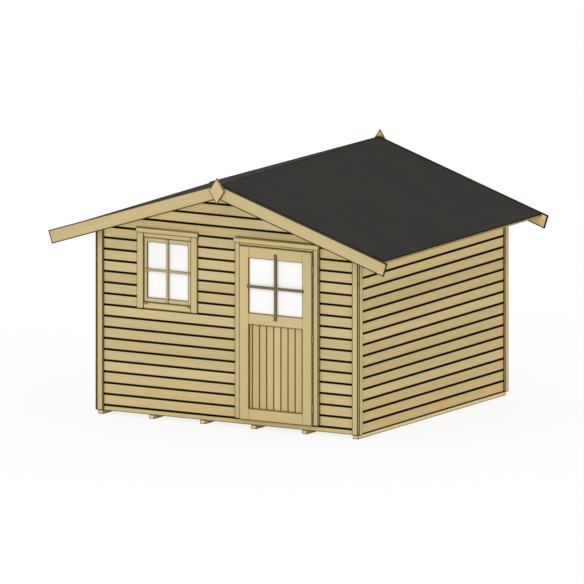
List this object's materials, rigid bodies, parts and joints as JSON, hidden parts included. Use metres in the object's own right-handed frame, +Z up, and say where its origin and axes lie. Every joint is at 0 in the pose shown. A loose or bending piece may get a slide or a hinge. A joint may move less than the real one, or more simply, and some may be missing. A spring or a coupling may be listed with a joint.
{
  "type": "wooden garden house",
  "caption": "Garden house of interlocking wall planks under a low gabled felt roof, with a half-glazed hinged door, a small window, bargeboards and finials",
  "frame": {"origin": "on the level ground, at the middle of the overall width and depth", "axes": "+X to the right of the front wall, seen from in front of it; +Y from the front to the back; +Z up"},
  "size_m": [3.91, 3.2812, 2.5539],
  "materials": {
    "wall_wood": "planed pine planks, clear stain",
    "trim_wood": "planed pine boards, clear stain",
    "door_wood": "planed pine, clear stain",
    "roof_wood": "planed pine boards, untreated",
    "floor_wood": "planed pine boards, untreated",
    "bearer_wood": "pressure-treated pine",
    "felt": "matte mineral felt",
    "glass": "satin white pane",
    "steel": "yellow zinc-plated steel"
  },
  "bodies": {
    "house": {"bearers": "bearer_wood", "floor": "floor_wood", "front_sill_plank": "wall_wood", "front_wall_left": "wall_wood", "front_wall_right": "wall_wood", "front_gable": "wall_wood", "back_wall": "wall_wood", "back_gable": "wall_wood", "left_wall": "wall_wood", "right_wall": "wall_wood", "corner_boards_front": "trim_wood", "corner_boards_back": "trim_wood", "corner_boards_left": "trim_wood", "corner_boards_right": "trim_wood", "ridge_purlin": "roof_wood", "purlin_left": "roof_wood", "purlin_right": "roof_wood", "roof_boards_left": "roof_wood", "roof_boards_right": "roof_wood", "roof_felt_left": "felt", "roof_felt_right": "felt", "bargeboard_front_left": "trim_wood", "bargeboard_front_right": "trim_wood", "bargeboard_back_left": "trim_wood", "bargeboard_back_right": "trim_wood", "finial_front": "trim_wood", "finial_back": "trim_wood", "door_jamb_left": "trim_wood", "door_jamb_right": "trim_wood", "door_head": "trim_wood", "door_threshold": "trim_wood", "door_cap": "trim_wood", "hinge_pins": "steel", "window_frame": "trim_wood", "window_sash": "door_wood", "window_glass": "glass", "window_beads": "door_wood", "window_casings": "trim_wood", "window_cap": "trim_wood"},
    "door": {"door_leaf_frame": "door_wood", "door_panel": "door_wood", "door_glass": "glass", "door_beads": "door_wood", "hinge_knuckles": "steel"}
  },
  "joints": [
    {"name": "door_hinge", "type": "hinge", "parent": "house", "child": "door", "pos_m": [0.996, -1.4425, 0.9776], "axis": [0, 0, 1], "range_deg": [0, 110]}
  ]
}
